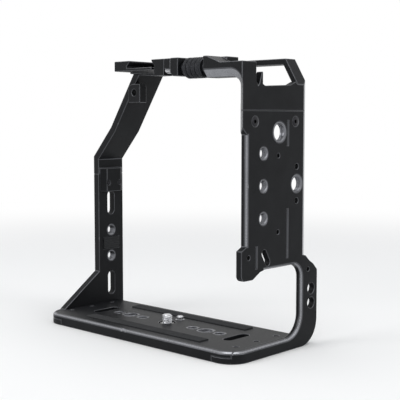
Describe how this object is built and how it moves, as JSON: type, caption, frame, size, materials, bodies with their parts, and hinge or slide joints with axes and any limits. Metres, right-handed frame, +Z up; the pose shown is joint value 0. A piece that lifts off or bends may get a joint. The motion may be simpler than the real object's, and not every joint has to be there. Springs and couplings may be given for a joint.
{
  "type": "camera cage",
  "caption": "Bolted metal cage round a tall camera body: top, side, base and strap frames with threaded mounts, a knurled wheel clamp on top and a folding ring screw.",
  "frame": {"origin": "bottom centre of the bounding box: under the middle of the cage, on the surface that its base stands on", "axes": "+Z up; +Y to the rear (the camera looks along -Y); +X to the operator's left, the side with the solid side plate and the battery loop"},
  "size_m": [0.164, 0.076, 0.168],
  "materials": {
    "frame_black": "fine bead-blasted, black anodised",
    "wheel_black": "knurled, black anodised",
    "joint_steel": "black-oxide alloy steel",
    "bright_steel": "turned stainless steel",
    "insert_steel": "stainless thread wire",
    "shoe_steel": "black-plated sheet steel",
    "pad_rubber": "matt ribbed silicone rubber"
  },
  "bodies": {
    "frame": {"top_frame": "frame_black", "left_side_frame": "frame_black", "right_strap": "frame_black", "base_plate": "frame_black", "left_seam_screws": "joint_steel", "right_seam_screws": "joint_steel", "lap_screws": "joint_steel", "lap_dowels": "bright_steel", "camera_locating_pin": "bright_steel", "base_pads": "pad_rubber", "side_pad": "pad_rubber", "strap_pad": "pad_rubber", "top_pad": "pad_rubber", "side_thread_inserts": "insert_steel", "side_location_insert": "insert_steel", "top_thread_inserts": "insert_steel", "base_thread_inserts": "insert_steel", "base_location_inserts": "insert_steel", "strap_thread_inserts": "insert_steel", "strap_bushing": "insert_steel", "cold_shoe": "shoe_steel", "cold_shoe_screws": "joint_steel"},
    "wheel": {"clamp_screw": "bright_steel", "thumbwheel": "wheel_black", "thumbwheel_pin": "bright_steel"},
    "jaw": {"clamp_jaw": "frame_black", "jaw_guide_pins": "bright_steel"},
    "screw": {"camera_screw": "bright_steel", "camera_screw_clip": "joint_steel"},
    "ring": {"d_ring": "bright_steel"}
  },
  "joints": [
    {"name": "wheel_turn", "type": "hinge", "parent": "frame", "child": "wheel", "pos_m": [0.044, -0.0254, 0.162], "axis": [-1, 0, 0], "range_deg": [0, 720]},
    {"name": "jaw_slide", "type": "slide", "parent": "frame", "child": "jaw", "axis": [-1, 0, 0], "range_m": [0, 0.0016]},
    {"name": "camera_screw_turn", "type": "hinge", "parent": "frame", "child": "screw", "pos_m": [0, -0.0065, 0.003], "axis": [0, 0, 1], "continuous": true},
    {"name": "d_ring_fold", "type": "hinge", "parent": "screw", "child": "ring", "pos_m": [0, -0.0095, 0.00115], "axis": [-1, 0, 0], "range_deg": [0, 100]}
  ],
  "couplings": [
    {"joint": "wheel_turn", "follows": "jaw_slide", "rad_per_m": 7853.9}
  ]
}
